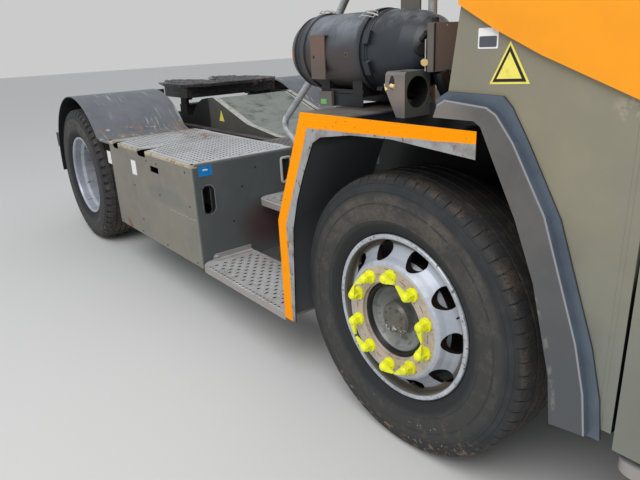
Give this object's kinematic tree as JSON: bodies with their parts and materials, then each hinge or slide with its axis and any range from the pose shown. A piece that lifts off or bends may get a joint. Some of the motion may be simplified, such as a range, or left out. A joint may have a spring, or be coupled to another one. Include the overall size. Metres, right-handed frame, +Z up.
{
  "type": "terminal tractor",
  "caption": "Yard tractor with a wide tilting cab, open rear frame, lifting boom and pitching coupling plate, steered front wheels and twin rear wheels.",
  "frame": {"origin": "on the ground under the middle of the whole vehicle", "axes": "+X forward to the cab, +Y to the left side, +Z up"},
  "size_m": [5.7, 2.5, 3.01],
  "materials": {
    "dark_steel": "satin dark grey frame paint",
    "grey_paint": "weathered grey-beige paint",
    "orange_paint": "glossy orange-yellow paint",
    "guard_grey": "scratched blue-grey sheet",
    "plate": "perforated tread plate",
    "wheel_silver": "silver wheel paint",
    "tyre_rubber": "worn rubber",
    "black_plastic": "moulded plastic",
    "grey_plastic": "moulded plastic",
    "indicator_yellow": "fluorescent plastic",
    "greasy_steel": "greasy worn casting",
    "bright_steel": "machined bar",
    "brown_steel": "brown-grey paint",
    "window_glass": "tinted",
    "seat_fabric": "dark cloth",
    "lamp_clear": "lamp lens",
    "beacon_amber": "amber lens",
    "tank_metal": "brushed tank"
  },
  "bodies": {
    "chassis": {"frame_rails": "dark_steel", "frame_crossmembers": "dark_steel", "front_axle": "dark_steel", "rear_axle": "dark_steel", "engine_and_shaft": "dark_steel", "front_fenders": "grey_plastic", "rear_guards": "guard_grey", "locker_box": "grey_paint", "fuel_tank": "tank_metal", "access_steps": "plate", "deck_plates": "plate", "handrails": "wheel_silver", "air_cleaner": "black_plastic", "cleaner_brackets": "brown_steel", "round_housing": "grey_plastic", "exhaust_stack": "bright_steel", "front_bumper": "dark_steel", "lamps": "lamp_clear"},
    "cab": {"cab_lower_sides": "grey_paint", "cab_upper_sides": "orange_paint", "cab_end_walls": "orange_paint", "cab_glass": "window_glass", "cab_floor": "dark_steel", "cab_roof": "orange_paint", "wheel_flares": "black_plastic", "seat": "seat_fabric", "dashboard": "black_plastic", "mirrors": "black_plastic", "roof_beacon": "beacon_amber"},
    "hand_wheel": {"steering_wheel": "black_plastic"},
    "door_right": {"door_right": "grey_paint", "door_glass_right": "window_glass"},
    "door_left": {"door_left": "grey_paint", "door_glass_left": "window_glass"},
    "knuckle_right": {"knuckle_right": "dark_steel"},
    "knuckle_left": {"knuckle_left": "dark_steel"},
    "track_rod": {"tie_rod": "dark_steel"},
    "front_wheel_right": {"front_wheel_right": "wheel_silver", "front_tyre_right": "tyre_rubber", "nut_indicators_right": "indicator_yellow"},
    "front_wheel_left": {"front_wheel_left": "wheel_silver", "front_tyre_left": "tyre_rubber", "nut_indicators_left": "indicator_yellow"},
    "rear_wheels_right": {"rear_wheels_right": "wheel_silver", "rear_tyres_right": "tyre_rubber"},
    "rear_wheels_left": {"rear_wheels_left": "wheel_silver", "rear_tyres_left": "tyre_rubber"},
    "boom": {"lift_boom": "dark_steel"},
    "cylinder_barrels": {"cylinder_barrels": "dark_steel"},
    "cylinder_rods": {"cylinder_rods": "bright_steel"},
    "coupler": {"fifth_wheel": "greasy_steel", "coupler_jaws": "greasy_steel"},
    "locker_lid": {"locker_cover": "plate"}
  },
  "joints": [
    {"name": "steer_right", "type": "hinge", "parent": "chassis", "child": "knuckle_right", "pos_m": [1.35, -0.93, 0.505], "axis": [0, 0, 1], "range_deg": [-35, 35]},
    {"name": "steer_left", "type": "hinge", "parent": "chassis", "child": "knuckle_left", "pos_m": [1.35, 0.93, 0.505], "axis": [0, 0, 1], "range_deg": [-35, 35]},
    {"name": "track_rod_pivot", "type": "hinge", "parent": "knuckle_right", "child": "track_rod", "pos_m": [1.17, -0.93, 0.449], "axis": [0, 0, 1], "range_deg": [-36, 36]},
    {"name": "front_spin_right", "type": "hinge", "parent": "knuckle_right", "child": "front_wheel_right", "pos_m": [1.35, -1.052, 0.505], "axis": [0, 1, 0], "continuous": true},
    {"name": "rear_spin_right", "type": "hinge", "parent": "chassis", "child": "rear_wheels_right", "pos_m": [-2, -1, 0.505], "axis": [0, 1, 0], "continuous": true},
    {"name": "front_spin_left", "type": "hinge", "parent": "knuckle_left", "child": "front_wheel_left", "pos_m": [1.35, 1.052, 0.505], "axis": [0, 1, 0], "continuous": true},
    {"name": "rear_spin_left", "type": "hinge", "parent": "chassis", "child": "rear_wheels_left", "pos_m": [-2, 1, 0.505], "axis": [0, 1, 0], "continuous": true},
    {"name": "cab_tilt", "type": "hinge", "parent": "chassis", "child": "cab", "pos_m": [2.78, 0, 0.482], "axis": [0, 1, 0], "range_deg": [0, 45]},
    {"name": "hand_wheel_turn", "type": "hinge", "parent": "cab", "child": "hand_wheel", "pos_m": [2.35, 0.38, 1.64], "axis": [-0.5, 0, 0.866], "range_deg": [-525, 525]},
    {"name": "door_swing_right", "type": "hinge", "parent": "cab", "child": "door_right", "pos_m": [2.696, -1.232, 1.5], "axis": [0, 0, 1], "range_deg": [0, 75]},
    {"name": "door_swing_left", "type": "hinge", "parent": "cab", "child": "door_left", "pos_m": [2.696, 1.232, 1.5], "axis": [0, 0, -1], "range_deg": [0, 75]},
    {"name": "boom_lift", "type": "hinge", "parent": "chassis", "child": "boom", "pos_m": [-0.5, 0, 0.74], "axis": [0, 1, 0], "range_deg": [0, 18]},
    {"name": "barrel_swing", "type": "hinge", "parent": "chassis", "child": "cylinder_barrels", "pos_m": [-1.35, 0, 0.455], "axis": [0, 1, 0], "range_deg": [0, 11]},
    {"name": "rod_slide", "type": "slide", "parent": "cylinder_barrels", "child": "cylinder_rods", "axis": [-0.1253, 0, 0.9921], "range_m": [0, 0.3]},
    {"name": "coupler_pitch", "type": "hinge", "parent": "boom", "child": "coupler", "pos_m": [-1.95, 0, 1.04], "axis": [0, -1, 0], "range_deg": [-8, 20]},
    {"name": "lid_swing", "type": "hinge", "parent": "chassis", "child": "locker_lid", "pos_m": [-0.6375, -0.591, 0.852], "axis": [-1, 0, 0], "range_deg": [0, 80]}
  ],
  "couplings": [
    {"joint": "steer_left", "follows": "steer_right", "ratio": 1},
    {"joint": "track_rod_pivot", "follows": "steer_right", "ratio": -1},
    {"joint": "hand_wheel_turn", "follows": "steer_right", "ratio": 15},
    {"joint": "barrel_swing", "follows": "boom_lift", "ratio": 0.5892},
    {"joint": "rod_slide", "follows": "boom_lift", "m_per_rad": 0.8618}
  ]
}
